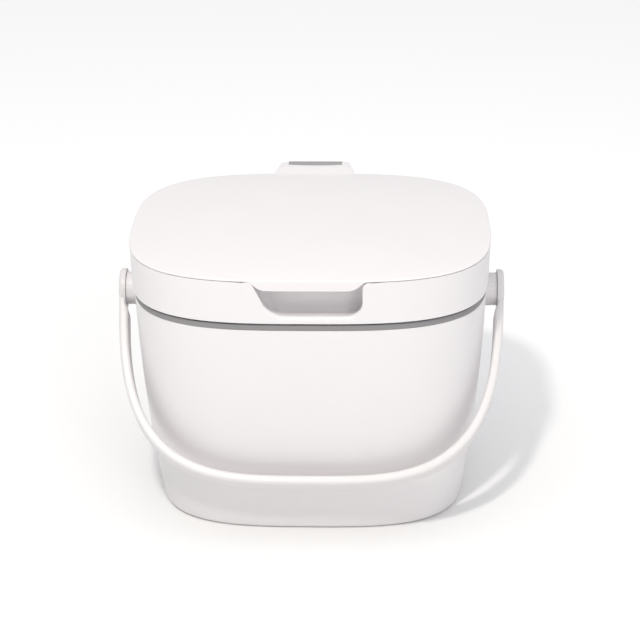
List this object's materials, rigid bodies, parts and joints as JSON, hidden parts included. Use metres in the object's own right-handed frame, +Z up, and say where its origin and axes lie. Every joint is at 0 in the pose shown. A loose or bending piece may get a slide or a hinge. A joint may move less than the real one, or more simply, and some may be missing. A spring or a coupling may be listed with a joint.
{
  "type": "compost caddy",
  "caption": "Countertop compost caddy: tapered oval bucket, hinged lid with a front finger recess, soft grey rim ring and a swinging bail handle.",
  "frame": {"origin": "centre of the bucket's foot, on the surface that the caddy stands on", "axes": "+Z up, +X along the hinge and the handle's pivot axis, +Y towards the lid's hinge, so the finger recess faces -Y"},
  "size_m": [0.2176, 0.185, 0.16],
  "materials": {
    "white_shell": "satin",
    "white_lid": "satin",
    "white_liner": "satin",
    "white_handle": "satin",
    "grey_ring": "matte",
    "grey_pad": "matte",
    "steel_pin": "brushed"
  },
  "bodies": {
    "bucket": {"bucket": "white_shell", "rim_ring": "grey_ring"},
    "lid": {"lid_top": "white_lid", "lid_skirt": "white_lid", "lid_liner": "white_liner", "thumb_pad": "grey_pad", "hinge_pin": "steel_pin"},
    "handle": {"handle": "white_handle", "pivot_pin_left": "white_handle", "pivot_pin_right": "white_handle"}
  },
  "joints": [
    {"name": "lid_hinge", "type": "hinge", "parent": "bucket", "child": "lid", "pos_m": [0, 0.088, 0.146], "axis": [-1, 0, 0], "range_deg": [0, 100]},
    {"name": "handle_pivot", "type": "hinge", "parent": "bucket", "child": "handle", "pos_m": [0, 0, 0.1184], "axis": [-1, 0, 0], "range_deg": [0, 136]}
  ]
}
